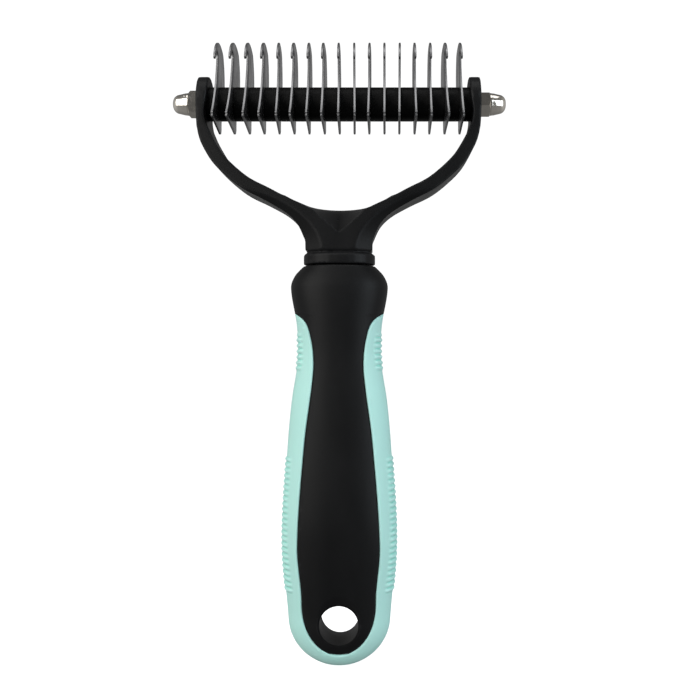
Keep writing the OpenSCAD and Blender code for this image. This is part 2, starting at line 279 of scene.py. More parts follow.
class Finish:
    """A node material on Object coordinates, built up from noises."""

    def __init__(self, name, metallic=0.0, specular=0.5):
        self.material = bpy.data.materials.new(name)
        self.material.use_nodes = True
        self.tree = self.material.node_tree
        self.shader = self.tree.nodes["Principled BSDF"]
        self.shader.inputs["Metallic"].default_value = metallic
        self.shader.inputs["Specular IOR Level"].default_value = specular
        self.place = self.tree.nodes.new("ShaderNodeTexCoord").outputs["Object"]
        self.bumps = None

    def node(self, kind, links=(), **values):
        """Adds a node, with what feeds its sockets."""
        made = self.tree.nodes.new(kind)
        for key, value in values.items():
            setattr(made, key, value)
        for socket, source in links:
            self.tree.links.new(source, made.inputs[socket])
        return made

    def noise(self, size, stretch=(1, 1, 1), detail=3.0):
        """Noise of a grain size in metres, drawn out by stretch along each axis."""
        spread = self.node("ShaderNodeMapping", [("Vector", self.place)])
        spread.inputs["Scale"].default_value = [1 / (size * s) for s in stretch]
        grain = self.node("ShaderNodeTexNoise", [("Vector", spread.outputs["Vector"])])
        grain.inputs["Scale"].default_value = 1.0
        grain.inputs["Detail"].default_value = detail
        grain.inputs["Roughness"].default_value = 0.55
        return grain.outputs["Fac"]

    def ranged(self, source, low, high, to_low, to_high):
        """Stretches the values from low to high over another range."""
        remap = self.node("ShaderNodeMapRange", [("Value", source)])
        for socket, value in zip(("From Min", "From Max", "To Min", "To Max"), (low, high, to_low, to_high)):
            remap.inputs[socket].default_value = value
        return remap.outputs["Result"]

    def blend(self, factor, one, other):
        """Mixes two colours, each a socket or a plain colour."""
        mix = self.node("ShaderNodeMix", data_type="RGBA")
        self.tree.links.new(factor, mix.inputs["Factor"])
        for socket, value in (("A", one), ("B", other)):
            target = [s for s in mix.inputs if s.name == socket and s.type == "RGBA"][0]
            if isinstance(value, bpy.types.NodeSocket):
                self.tree.links.new(value, target)
            else:
                target.default_value = (*value, 1.0)
        return [s for s in mix.outputs if s.type == "RGBA"][0]

    def rough(self, source, low, high):
        """Roughness that follows a noise from low to high."""
        self.tree.links.new(self.ranged(source, 0.3, 0.7, low, high), self.shader.inputs["Roughness"])

    def bump(self, source, depth, strength):
        """Relief of a depth in metres, on top of any earlier one."""
        made = self.node("ShaderNodeBump", [("Height", source)])
        made.inputs["Distance"].default_value = depth
        made.inputs["Strength"].default_value = strength
        if self.bumps:
            self.tree.links.new(self.bumps, made.inputs["Normal"])
        self.bumps = made.outputs["Normal"]
        self.tree.links.new(self.bumps, self.shader.inputs["Normal"])

    def tint(self, source):
        """Colours the surface."""
        self.tree.links.new(source, self.shader.inputs["Base Color"])

    def worn(self):
        """1 on sharp outer edges, 0 on flats and hollows."""
        edge = self.node("ShaderNodeNewGeometry").outputs["Pointiness"]
        return self.ranged(edge, 0.51, 0.56, 0.0, 1.0)

    def hollows(self):
        """1 in grooves, 0 on flats and outer edges; it masks the painted shade in the rubber's grooves."""
        edge = self.node("ShaderNodeNewGeometry").outputs["Pointiness"]
        return self.ranged(edge, 0.455, 0.497, 1.0, 0.0)


def shade(c, k):
    """The colour k times as bright."""
    return tuple(min(1.0, x * k) for x in c)


def black_plastic(name, c, low, high, grain, depth):
    """Satin black moulding with a fine spark-eroded grain, faint flow mottling and lighter worn edges."""
    f = Finish(name, specular=0.16)
    flow = f.noise(0.009, (1, 1, 2.5))
    fine = f.noise(grain, detail=2.0)
    f.tint(f.blend(f.worn(), f.blend(flow, shade(c, 0.8), shade(c, 1.25)), shade(c, 2.1)))
    f.rough(flow, low, high)
    f.bump(fine, depth, 0.5)
    return f.material


def mint_rubber(c):
    """Soft matt rubber: a faint cloudiness, painted shade that darkens the rib grooves, a fine skin and a
    soft bloom on its edges.
    """
    f = Finish("mint rubber", specular=0.35)
    cloud = f.noise(0.012, detail=4.0)
    skin = f.noise(0.00022, detail=2.0)
    # Painted shade: the grooves between the ribs are coloured darker and deeper, standing in for the shade
    # that falls in them.
    painted_groove_shade = (c[0] * 0.62, c[1] * 0.9, c[2] * 0.84)
    cloud_and_groove_shade = f.blend(f.hollows(), f.blend(cloud, shade(c, 0.955), shade(c, 1.02)), painted_groove_shade)
    f.tint(f.blend(f.worn(), cloud_and_groove_shade, shade(c, 1.06)))
    f.rough(f.noise(0.0011), 0.46, 0.6)
    f.bump(skin, 0.000018, 0.45)
    f.bump(cloud, 0.00009, 0.3)
    f.shader.inputs["Subsurface Weight"].default_value = 0.08
    f.shader.inputs["Subsurface Radius"].default_value = (0.0012, 0.0016, 0.0014)
    f.shader.inputs["Sheen Weight"].default_value = 0.12
    f.shader.inputs["Sheen Roughness"].default_value = 0.4
    return f.material


def blade_flat(c):
    """Polished flat of a blade: fine lines along it and soft cloudy patches."""
    f = Finish("polished blade steel", metallic=1.0)
    lines = f.noise(0.00012, (1, 1, 30), detail=4.0)
    cloud = f.noise(0.0045, (1, 1, 1.8))
    f.tint(f.blend(f.ranged(cloud, 0.35, 0.65, 0, 1), shade(c, 0.38), shade(c, 1.05)))
    f.rough(lines, 0.2, 0.36)
    f.bump(lines, 0.000006, 0.5)
    return f.material


def blade_ground(c):
    """Ground bevel of a blade: darker, with grinding marks across the edge."""
    f = Finish("ground blade steel", metallic=1.0)
    marks = f.noise(0.00010, (1, 12, 1), detail=3.0)
    f.tint(f.blend(marks, shade(c, 0.42), shade(c, 0.68)))
    f.rough(marks, 0.28, 0.46)
    f.bump(marks, 0.000008, 0.6)
    return f.material


def bright_metal(name, c, low, high, marks=(1, 1, 1), ripple=0.00002):
    """Plated or turned metal with a faint film that dulls it in places."""
    f = Finish(name, metallic=1.0)
    film = f.noise(0.0016, detail=4.0)
    lines = f.noise(0.00016, marks, detail=2.0)
    f.tint(f.blend(film, shade(c, 0.88), shade(c, 1.05)))
    f.rough(film, low, high)
    f.bump(lines, 0.000004, 0.4)
    f.bump(f.noise(0.0024, detail=1.0), ripple, 0.5)
    return f.material


# ---- The handle's form ----

ROUNDNESS = 2.4            # power of the superelliptic section, 2 for an ellipse
SECTION_STEPS = 160        # points that measure a quarter of the section
FOOT_SHORT = 0.4 * MM      # how far the rounded end stops short of the frame's lowest point
END_FULL = 0.75            # power below 1 that keeps the rounded end full, seen from the side
JOIN_EASE = 2.2 * MM       # reach of the easing over the join of the rounded end and the body
JOIN_FADE = 7 * MM         # distance from that join at which the easing has faded out
PANEL_BOW = 14.8 * MM      # height of the panel's bowed lower end
MOUTH_ROUND = 0.35 * MM    # radius of the rim at the handle's mouth
SUNK = 0.9 * MM            # depth of the core's skin under the soft grip
SEAM_STEP = 0.15 * MM      # distance between the points of the seam line
EDGE_TURN = 0.98           # how far a rounded edge turns over, 1 for a full quarter round


def curve_at(table, f):
    """Values at f of the smooth curve through a table of [f, value] rows."""
    t = np.array(table)
    n = len(t)
    i = np.clip(np.searchsorted(t[:, 0], f, side="right") - 1, 0, n - 2)
    ends = [np.clip(np.arange(n) + k, 0, n - 1) for k in (-1, 1)]
    slopes = (t[ends[1], 1] - t[ends[0], 1]) / (t[ends[1], 0] - t[ends[0], 0])
    d = t[i + 1, 0] - t[i, 0]
    u = (f - t[i, 0]) / d
    return (t[i, 1] * (2 * u**3 - 3 * u**2 + 1) + t[i + 1, 1] * (3 * u**2 - 2 * u**3)
            + d * slopes[i] * (u**3 - 2 * u**2 + u) + d * slopes[i + 1] * (u**3 - u**2))


def between(a, b, k):
    """The value that lies k of the way from a to b."""
    return a + (b - a) * k


def eased(k):
    """A soft step: 0 up to 0, 1 from 1 on."""
    k = np.clip(k, 0, 1)
    return k * k * (3 - 2 * k)


class HandleForm:
    """The handle's outer form, drawn by height z and by the distance s round its skin from the front line."""

    def __init__(self, sizes):
        self.s = sizes
        self.foot, self.mouth = HANDLE_FOOT + FOOT_SHORT, HANDLE_MOUTH
        self.tall = self.mouth - self.foot
        self.grip_top = self.mouth - sizes.panel_top
        self.panel_foot = self.foot + sizes.panel_low
        self.bow_z = self.panel_foot + PANEL_BOW
        end = sizes.end_l / self.tall
        self.widths = [
            [end, sizes.end_w / 2], [0.31, sizes.palm_w / 2],
            [0.54, between(sizes.waist_w, sizes.palm_w, 0.7) / 2],
            [0.66, between(sizes.waist_w, sizes.palm_w, 0.42) / 2], [0.77, sizes.waist_w / 2],
            [0.85, between(sizes.waist_w, sizes.shoulder_w, 0.15) / 2], [0.945, sizes.shoulder_w / 2],
            [0.975, between(sizes.mouth_w, sizes.shoulder_w, 0.7) / 2], [1, sizes.mouth_w / 2]]
        self.thicknesses = [
            [end, sizes.end_t / 2], [0.38, sizes.palm_t / 2], [0.77, sizes.waist_t / 2],
            [0.945, sizes.shoulder_t / 2], [1, sizes.mouth_t / 2]]
        w, p, top = sizes.panel_waist_w, sizes.panel_palm_w, sizes.shoulder_w
        self.panel = [
            [0, 0.45 * p], [0.04, 0.453 * p], [0.2, p / 2],
            [0.55, between(w, p, 0.55) / 2], [0.74, between(w, p, 0.1) / 2], [0.82, w / 2],
            [0.9, between(w, top, 0.12) / 2], [0.96, between(w, top, 0.42) / 2], [1, top / 2 + MM]]
        self.seam = self.seam_line()

    def half_sizes(self, z):
        """Half width and half thickness at each height."""
        f = (z - self.foot) / self.tall
        low = self.s.end_l / self.tall
        round_end = f < low
        drop = np.sqrt(np.clip(1 - (1 - f / low) ** 2, 0, 1))
        f = np.maximum(f, low)
        a = np.where(round_end, self.s.end_w / 2 * drop, curve_at(self.widths, f))
        b = np.where(round_end, self.s.end_t / 2 * drop**END_FULL, curve_at(self.thicknesses, f))
        return a, b

    def soft_half_sizes(self, z):
        """The same, eased over the join of the rounded end and the body."""
        reach = np.linspace(-JOIN_EASE, JOIN_EASE, 9)
        weight = np.hanning(11)[1:-1]
        join = self.foot + self.s.end_l
        ease = np.clip(1 - np.abs(z - join) / JOIN_FADE, 0, 1)[:, None]
        spread = z[:, None] + reach[None, :] * ease
        a, b = self.half_sizes(spread)
        return (a * weight).sum(1) / weight.sum(), (b * weight).sum(1) / weight.sum()

    def panel_half(self, z):
        """Half width of the black panel, 0 below its lower end."""
        bow = np.sqrt(np.clip(1 - ((self.bow_z - z) / PANEL_BOW) ** 2, 0, 1))
        f = np.clip((z - self.bow_z) / (self.grip_top - self.bow_z), 0, 1)
        return np.where(z < self.bow_z, self.panel[0][1] * bow, curve_at(self.panel, f))

    def sections(self, z):
        """A quarter of the section at each height, front line to side: x, depth and length so far."""
        a, b = self.soft_half_sizes(z)
        q = np.linspace(0, math.pi / 2, SECTION_STEPS)
        x = a[:, None] * np.sin(q) ** (2 / ROUNDNESS)
        y = b[:, None] * np.clip(np.cos(q), 0, 1) ** (2 / ROUNDNESS)
        steps = np.hypot(np.diff(x), np.diff(y))
        so_far = np.concatenate([np.zeros((len(z), 1)), np.cumsum(steps, axis=1)], axis=1)
        return x, y, so_far

    def seam_at(self, z):
        """Distance round the skin to the seam at each height, and to the side."""
        x, _, so_far = self.sections(z)
        w = self.panel_half(z)
        seam = np.array([np.interp(w[i], x[i], so_far[i]) for i in range(len(z))])
        return seam, so_far[:, -1]

    def seam_line(self):
        """Points (s, z) along the seam, from the panel's foot up to where the seam meets the side."""
        turns = np.radians(np.arange(90, -1, -1))
        z = np.concatenate([self.bow_z - PANEL_BOW * np.sin(turns),
                            np.arange(self.bow_z + SEAM_STEP, self.grip_top, SEAM_STEP)])
        seam, side = self.seam_at(z)
        self.tip = z[np.argmax(seam >= side - 0.02 * MM)]
        keep = z <= self.tip
        return np.stack([seam[keep], z[keep]], axis=1)

    def off_seam(self, s, z):
        """Distance from the seam of each point, positive on the panel's side."""
        flat = np.stack([s.ravel(), np.broadcast_to(z[:, None], s.shape).ravel()], axis=1)
        near = np.full(len(flat), np.inf)
        for part in np.array_split(self.seam, 12):
            gap = flat[:, None, :] - part[None, :, :]
            near = np.minimum(near, np.sqrt((gap**2).sum(2)).min(1))
        seam, _ = self.seam_at(z)
        inside = (s < seam[:, None]) & (z[:, None] > self.panel_foot) | (z[:, None] > self.tip)
        return np.where(inside, 1, -1) * near.reshape(s.shape)

    def skin(self, s, z, sink):
        """Points at distance s round the skin at heights z, sunk below it by sink."""
        x, y, so_far = self.sections(z)
        px = np.stack([np.interp(s[i], so_far[i], x[i]) for i in range(len(z))])
        py = np.stack([np.interp(s[i], so_far[i], y[i]) for i in range(len(z))])
        a, b = self.soft_half_sizes(z)
        step = 0.02 * MM
        up = self.soft_half_sizes(np.minimum(z + step, self.mouth))
        down = self.soft_half_sizes(np.maximum(z - step, self.foot))
        da, db = (up[0] - down[0]) / (2 * step), (up[1] - down[1]) / (2 * step)
        a, b = np.maximum(a, 0.05 * MM)[:, None], np.maximum(b, 0.05 * MM)[:, None]
        n = ROUNDNESS
        across, deep = np.clip(px / a, 0, 1), np.clip(py / b, 0, 1)
        normal = [across ** (n - 1) / a, deep ** (n - 1) / b,
                  -(across**n * da[:, None] / a + deep**n * db[:, None] / b)]
        size = np.sqrt(sum(part**2 for part in normal))
        size[size == 0] = 1
        pole = (z <= self.foot + 0.01 * MM)[:, None]
        nx, ny, nz = (np.where(pole, at_pole, part / size) for part, at_pole in zip(normal, (0, 0, -1)))
        return np.stack([px - sink * nx, -(py - sink * ny), z[:, None] - sink * nz], axis=2)


def heights(*runs):
    """Heights of a mesh's rows: every run, sorted, with near twins left out."""
    out = []
    for z in sorted(np.concatenate(runs)):
        if not out or z - out[-1] > 0.06 * MM:
            out.append(z)
    return np.array(out)


def rolled(distance, radius):
    """How far an edge of that radius has dropped at a distance from it."""
    k = np.clip(1 - distance / radius, 0, 1)
    return radius * (1 - np.sqrt(1 - k**2 * EDGE_TURN))


def laid_grid(name, rows):
    """A grid laid onto rows of points."""
    tall, wide, _ = rows.shape
    put_down()
    bpy.ops.mesh.primitive_grid_add(x_subdivisions=wide - 1, y_subdivisions=tall - 1, size=1)
    piece = named(name)
    if len(piece.data.vertices) != tall * wide:
        raise RuntimeError(f"{name}: the grid has {len(piece.data.vertices)} points for {tall * wide}")
    piece.data.vertices.foreach_set("co", rows.reshape(-1).astype(np.float32))
    piece.data.update()
    return piece


def joined(name, pieces):
    """Joins pieces into one."""
    take(pieces[0])
    for piece in pieces[1:]:
        piece.select_set(True)
    bpy.ops.object.join()
    whole = bpy.context.active_object
    whole.name = whole.data.name = name
    return whole


def half_round(quarter):
    """The whole right side, front line to back line, out of its front quarter."""
    back = quarter[:, ::-1] * np.array([1, -1, 1])
    return np.concatenate([quarter, back[:, 1:]], axis=1)


def other_side(right):
    """The left side out of the right side."""
    return right[:, ::-1] * np.array([-1, 1, 1])


def both_sides(name, right):
    """One closed piece out of the points of its right side."""
    whole = joined(name + "_moulding", [laid_grid(name + "_right", right),
                                        laid_grid(name + "_left", other_side(right))])
    close_up(whole)
    return whole


def rounded_end_rows(form):
    """Heights of rows round the handle's lower end."""
    turns = np.radians(np.arange(90, -1, -5))
    return form.foot + form.s.end_l * (1 - np.sin(turns))


def bow_rows(form):
    """Heights of rows round the panel's bowed lower end."""
    turns = np.radians(np.arange(90, -1, -4))
    return form.bow_z - PANEL_BOW * np.sin(turns)


def edge_reach(z, seam):
    """Widening of the seam's rounding where the seam runs aslant."""
    slope = np.gradient(seam, z)
    return np.sqrt(1 + np.clip(slope, -4, 4) ** 2)


# ---- Handle core ----

PANEL_COLUMNS, SUNK_COLUMNS = 15, 8
EDGE_STEPS = np.array([0.2, 0.45, 0.72, 0.9, 1.0])    # columns over the panel's rounded edge
SEAM_LIP = 0.03 * MM                                  # from the edge to the foot of its side wall
RIM_TURN = 0.97                                       # how far the mouth's rim turns over
MOUTH_STEPS = ((0.82, 0.0), (0.98, -0.8 * MM), (0.6, -0.2 * MM))    # growth and drop of each step


def core_heights(form):
    """Heights of the core's rows, close together where its edges are rounded."""
    return heights(rounded_end_rows(form), bow_rows(form),
                   np.arange(form.foot + form.s.end_l, form.tip, 0.7 * MM),
                   np.linspace(form.tip, form.mouth - MOUTH_ROUND, 34),
                   form.mouth - MOUTH_ROUND * np.array([0.5, 0.2, 0]))


def core_side(form):
    """Points of the core's right side: panels and shoulder at the skin, the rest sunk for the soft grip."""
    sizes = form.s
    z = core_heights(form)
    seam, side = form.seam_at(z)
    seam = np.where(z < form.panel_foot, 0, np.where(z > form.tip, side, seam))
    reach = np.minimum(sizes.seam_round * edge_reach(z, seam), 0.45 * seam)
    columns = [(seam - reach)[:, None] * np.linspace(0, 1, PANEL_COLUMNS)[None, :],
               seam[:, None] - reach[:, None] * (1 - EDGE_STEPS)[None, :],
               np.minimum(seam + SEAM_LIP, side)[:, None],
               seam[:, None] + (side - seam)[:, None] * np.linspace(0.12, 1, SUNK_COLUMNS)[None, :]]
    s = np.concatenate(columns, axis=1)
    gap = form.off_seam(s, z)
    sink = np.where(gap >= -1e-9, rolled(np.maximum(gap, 0), sizes.seam_round), SUNK)
    past_seam = PANEL_COLUMNS + len(EDGE_STEPS)
    sink[:, past_seam] = np.where(z > form.tip, sink[:, past_seam], SUNK)
    rim = np.clip((z - (form.mouth - MOUTH_ROUND)) / MOUTH_ROUND, 0, 1)
    rim_sink = MOUTH_ROUND * (1 - np.sqrt(1 - rim**2 * RIM_TURN))
    shoulder = z > form.tip + sizes.seam_round
    sink = np.where(shoulder[:, None], rim_sink[:, None], sink)
    return half_round(form.skin(s, z, sink))


def close_seam_tips(core, form):
    """Gathers the points at the seam's upper end on each side, so that no fin is left there."""
    for way in (-1, 1):
        gather(core, lambda v: (abs(v.co.y) < 1e-6 and v.co.x * way > 0
                                and abs(v.co.z - form.tip) < 0.5 * MM))
    close_up(core)


def close_mouth(core, form):
    """Turns the handle's open rim inwards, a step down and shut."""
    edit(core, "EDGE")
    bpy.ops.mesh.select_non_manifold()
    for k, drop in MOUTH_STEPS:
        bpy.ops.mesh.extrude_region_move(TRANSFORM_OT_translate={"value": (0, 0, drop)})
        bpy.ops.transform.resize(value=(k, k, 1), center_override=(0, 0, form.mouth))
    bpy.ops.mesh.edge_face_add()
    close_up(core)


def hang_hole_tool(form):
    """The hang hole's bore with its rounded lips, flared past the skin front and back."""
    _, half = form.soft_half_sizes(np.array([0.0]))
    radius, lip, skin = form.s.hang_d / 2, form.s.hang_lip, half[0]
    flare = [(skin - lip + lip * math.sin(t), radius + lip - lip * math.cos(t))
             for t in np.radians(np.arange(0, 71, 10))]
    deep, wide = flare[-1]
    flare.append((deep + 1.2 * MM, wide + 2.6 * MM))
    flare.append((deep + 4 * MM, wide + 4 * MM))
    stations = [(-a, b) for a, b in reversed(flare)] + flare
    return turned("hang_hole_tool", stations, (0, 0, 0), (0, 1, 0), 96)


class RAKE_OT_handle_core(bpy.types.Operator):
    """Mould the black core: its panels front and back, its shoulder and the lipped hang hole"""
    bl_idname = "rake.handle_core"
    bl_label = "Handle core"

    def execute(self, context):
        sizes, colours = context.scene.rake_sizes, context.scene.rake_colours
        form = HandleForm(sizes)
        core = both_sides("handle_core", core_side(form))
        close_seam_tips(core, form)
        close_mouth(core, form)
        carve(core, hang_hole_tool(form))
        smooth(core, 32)
        finish = black_plastic("handle black plastic", colours.black, 0.40, 0.50, 0.00028, 0.00002)
        finish_piece(core, "frame", "handle_plastic", finish, "handle_core")
        return {"FINISHED"}


# ---- Soft grip ----

GRIP_WALL = 1.5 * MM
GRIP_EDGE = np.array([0, 0.1, 0.3, 0.6, 1.0])    # columns over the grip's rounded edge
GRIP_COLUMNS = 24
TIP_SINK = 0.3 * MM
RIB_FIELDS = ((8.2 * MM, 25), (74 * MM, 7.4))    # each field's lower end and how many ribs it spans
RIB_REACH, RIB_FADE = 6.8 * MM, 1.6 * MM         # how far the ribs reach from the side, and fade over
RIB_CLEAR, RIB_RUNOUT = 0.6 * MM, 1.2 * MM       # plain strip beside the seam, and the ribs' run-out


def rib_ends(pitch):
    """Lower and upper end of each field of ribs."""
    return [(low, low + count * pitch) for low, count in RIB_FIELDS]


def grip_heights(form):
    """Heights of the grip's rows, eight to a rib."""
    pitch = form.s.rib_pitch
    ribs = [np.arange(low - pitch, high + pitch, pitch / 8) for low, high in rib_ends(pitch)]
    under_panel = form.panel_foot - np.array([0.0, 0.12, 0.25, 0.42, 0.7]) * MM
    z = heights(rounded_end_rows(form), bow_rows(form), under_panel,
                np.arange(form.foot + form.s.end_l, form.tip, 0.9 * MM),
                *ribs, [form.tip - 0.15 * MM])
    return z[z < form.tip]


def rib_lift(form, z, off_side, gap):
    """Height of the ribs at each point, from its distance to the side and to the seam."""
    pitch = form.s.rib_pitch
    along = np.zeros_like(z)
    for low, high in rib_ends(pitch):
        along = np.maximum(along, eased(np.minimum(z - low, high - z) / (1.2 * pitch)))
    tooth = (0.5 + 0.5 * np.cos(2 * math.pi * (z - RIB_FIELDS[0][0]) / pitch)) ** 0.8
    across = eased((RIB_REACH - off_side) / RIB_FADE)
    clear = np.clip((gap - RIB_CLEAR) / RIB_RUNOUT, 0, 1)
    return form.s.rib_rise * (along * tooth)[:, None] * across * clear


def grip_side(form):
    """Points of the grip's right side, up to the tip where the seam meets the side."""
    sizes = form.s
    z = grip_heights(form)
    seam, side = form.seam_at(z)
    seam = np.where(z < form.panel_foot, 0, seam)
    aslant = edge_reach(z, seam)
    start = np.where(z < form.panel_foot, 0, np.minimum(seam + sizes.seam_gap * aslant, side))
    reach = np.minimum(sizes.seam_round * aslant, 0.5 * (side - start))
    rest = side - start - reach
    plain = np.linspace(0, 1, GRIP_COLUMNS + 1)[1:]
    s = np.concatenate([start[:, None] + reach[:, None] * GRIP_EDGE[None, :],
                        (start + reach)[:, None] + rest[:, None] * plain[None, :]], axis=1)
    gap = -form.off_seam(s, z) - sizes.seam_gap
    sink = rolled(np.maximum(gap, 0), sizes.seam_round) - rib_lift(form, z, side[:, None] - s, gap)
    right = half_round(form.skin(s, z, sink))
    tip = form.skin(np.array([[form.seam[-1, 0]]]), np.array([form.tip]), np.array([[TIP_SINK]]))
    return np.concatenate([right, np.broadcast_to(tip, (1, right.shape[1], 3))], axis=0)


class RAKE_OT_soft_grip(bpy.types.Operator):
    """Mould the soft mint grip with its two fields of ribs on each side"""
    bl_idname = "rake.soft_grip"
    bl_label = "Soft grip"

    def execute(self, context):
        sizes, colours = context.scene.rake_sizes, context.scene.rake_colours
        grip = both_sides("soft_grip", grip_side(HandleForm(sizes)))
        take(grip)
        wall = grip.modifiers.new("wall", "SOLIDIFY")
        wall.thickness, wall.offset = GRIP_WALL, -1
        bpy.ops.object.modifier_apply(modifier=wall.name)
        smooth(grip, 40)
        finish_piece(grip, "frame", "grip_rubber", mint_rubber(colours.mint), "grip_sleeve")
        return {"FINISHED"}


# ---- Fork ----

SKIN_VOXEL = 0.38 * MM
NECK_FACET = 4.9 * MM                            # half width of the flat facet at the neck's foot
NECK_FLARE, NECK_RISE = 14 * MM, 16 * MM         # how much the facet widens, and over what height
NECK_FALL, NECK_DEEPEST = 0.62, 4.2 * MM         # slope of the chamfers beside it, and their most
NECK_FADE_TOP, NECK_FADE = 20 * MM, 9 * MM       # where the chamfers end, and over what height they fade
ARMS_FROM = AXLE.z - 20 * MM                     # height above which the arms are left as they are

# The crotch, in millimetres: its top by half width, its lean to the back, and its easing towards the arms
CROTCH_TOP = [[0, 121.2], [8.6, 122.5], [12.4, 124.3], [16.5, 126.1], [20.9, 128.2], [30, 133.5]]
CROTCH_HALF, CROTCH_LOWEST, CROTCH_LEAN = 20, 112, 0.135
CROTCH_EASE, CROTCH_EASE_FROM = 0.06, 13

# The notch in it, in millimetres: half width and blend, then the front's V and the back's shallow curve
NOTCH_HALF, NOTCH_BLEND = 11.0, 2.6
NOTCH_FRONT, NOTCH_SLOPE, NOTCH_ROUND = 115.0, 0.82, 0.3
NOTCH_BACK, NOTCH_CURVE = 123.8, 0.0105

EYE_THICKER, EYE_RIM, EYE_WALL = 0.8 * MM, 2.5 * MM, 4 * MM
EYE_FROM, EYE_OVER = 4 * MM, 6 * MM              # how far below the axle it starts, and over what height
GROOVE_PLACE, GROOVE_WIDE, GROOVE_DEEP = 0.35 * MM, 0.42 * MM, 0.55 * MM


def neck_chamfers(x, y, z):
    """Depth of each point after a flat facet up the neck and a chamfer on each side of it."""
    rise = np.clip((z - COLLAR_TOP) / NECK_RISE, 0, 2)
    facet = NECK_FACET + NECK_FLARE * rise**2.2
    fade = eased((COLLAR_TOP + NECK_FADE_TOP - z) / NECK_FADE)
    fall = np.clip((np.abs(x) - facet) * NECK_FALL, 0, NECK_DEEPEST) * fade
    deep = FORK_HALF - fall
    on_neck = z > COLLAR_TOP + 0.2 * MM
    return np.where(on_neck & (np.abs(y) > deep), np.sign(y) * deep, y)


def crotch_top(wide, y, z):
    """Height of each point after the crotch's top is cut to its curve; wide is in millimetres."""
    top = np.interp(wide, *zip(*CROTCH_TOP)) * MM + (y + FORK_HALF) * CROTCH_LEAN
    top += CROTCH_EASE * MM * np.maximum(wide - CROTCH_EASE_FROM, 0) ** 2
    return np.where((wide < CROTCH_HALF) & (z > top) & (z < ARMS_FROM), top, z)


def crotch_notch(wide, y, z, upward):
    """Height of each point after the dished notch, a V in front that flattens out behind."""
    depth = (y + FORK_HALF) / (2 * FORK_HALF)
    front = NOTCH_FRONT + NOTCH_SLOPE * np.sqrt(wide**2 + NOTCH_ROUND)
    back = NOTCH_BACK + NOTCH_CURVE * wide**2
    dish = (front + (back - front) * (0.4 * depth + 0.6 * depth * (2 - depth))) * MM
    cut = upward & (z > CROTCH_LOWEST * MM) & (z < ARMS_FROM)
    return z + (dish - z) * eased((NOTCH_HALF - wide) / NOTCH_BLEND) * cut


def thicker_eyes(x, z):
    """Place across of each point after the eyes are thickened inwards."""
    eye = eased((z - AXLE.z + EYE_FROM) / EYE_OVER)
    inner = np.clip((EYE_OUT - np.abs(x)) / EYE_RIM, 0, 1) * (np.abs(x) > EYE_OUT - EYE_WALL)
    return x - np.sign(x) * EYE_THICKER * inner * eye


def pared(place, normal):
    """Pares the fork's neck and crotch, and thickens its eyes."""
    x, y, z = (place[:, i].copy() for i in range(3))
    wide = np.abs(x) / MM
    y = neck_chamfers(x, y, z)
    z = crotch_top(wide, y, z)
    z = crotch_notch(wide, y, z, normal[:, 2] > 0.3)
    x = thicker_eyes(x, z)
    return np.stack([x, y, z], axis=1)


def grooved(place, _):
    """Cuts the shallow groove between the neck and the collar."""
    near = np.exp(-((place[:, 2] - COLLAR_TOP - GROOVE_PLACE) / GROOVE_WIDE) ** 2)
    size = np.maximum(np.hypot(place[:, 0], place[:, 1]), MM)
    inward = GROOVE_DEEP * near / size
    return place - np.stack([place[:, 0] * inward, place[:, 1] * inward, 0 * inward], axis=1)


def move_points(piece, change):
    """Moves a piece's points to where change puts them, given their places and normals."""
    points = piece.data.vertices
    place = np.empty(len(points) * 3, np.float32)
    normal = np.empty(len(points) * 3, np.float32)
    points.foreach_get("co", place)
    points.foreach_get("normal", normal)
    points.foreach_set("co", change(place.reshape(-1, 3), normal.reshape(-1, 3)).reshape(-1))
    piece.data.update()


class RAKE_OT_fork(bpy.types.Operator):
    """Mould the black fork with soft rounded edges"""
    bl_idname = "rake.fork"
    bl_label = "Fork"

    def execute(self, context):
        sizes, colours = context.scene.rake_sizes, context.scene.rake_colours
        put_down()
        fork = bpy.data.objects.new("fork_moulding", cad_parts["fork"].data.copy())
        fork.data.name = fork.name
        context.scene.collection.objects.link(fork)
        close_up(fork)
        take(fork)
        skin = fork.modifiers.new("skin", "REMESH")
        skin.mode, skin.voxel_size = "VOXEL", SKIN_VOXEL
        bpy.ops.object.modifier_apply(modifier=skin.name)
        move_points(fork, pared)
        soft = fork.modifiers.new("soft", "SMOOTH")
        soft.factor, soft.iterations = 0.5, sizes.fork_soften
        bpy.ops.object.modifier_apply(modifier=soft.name)
        move_points(fork, grooved)
        bpy.ops.object.shade_smooth()
        finish = black_plastic("fork black plastic", colours.black, 0.36, 0.46, 0.00034, 0.000022)
        finish_piece(fork, "frame", "fork_plastic", finish, "fork")
        return {"FINISHED"}


# ---- Axle and spacers ----

class RAKE_OT_axle(bpy.types.Operator):
    """Turn the steel axle with its threaded ends"""
    bl_idname = "rake.axle"
    bl_label = "Axle"

    def execute(self, context):
        sizes = context.scene.rake_sizes
        r, pitch = AXLE_RADIUS, sizes.thread_pitch
        chamfer, thread_deep = 0.4 * MM, 0.3 * MM
        half = [(AXLE_END, r - chamfer), (AXLE_END - chamfer, r)]
        for i in range(int((AXLE_END - EYE_OUT) / pitch)):
            crest = AXLE_END - chamfer - (i + 0.15) * pitch
            half += [(crest, r), (crest - 0.4 * pitch, r - thread_deep), (crest - 0.75 * pitch, r)]
        axle = turned("axle_rod", both_ways(half), AXLE, (1, 0, 0), 40)
        smooth(axle, 25)
        steel = bright_metal("turned axle steel", (0.6, 0.6, 0.61), 0.2, 0.34, (1, 8, 8))
        finish_piece(axle, "blade_head", "axle_steel", steel, "axle")
        return {"FINISHED"}


def spacer_plastic():
    """Dull black of the spacers, darker than the mouldings."""
    f = Finish("spacer black plastic", specular=0.12)
    flow, fine = f.noise(0.004), f.noise(0.0003, detail=2.0)
    f.tint(f.blend(flow, (0.003, 0.003, 0.0031), (0.0065, 0.0065, 0.0067)))
    f.rough(flow, 0.4, 0.52)
    f.bump(fine, 0.000014, 0.5)
    return f.material


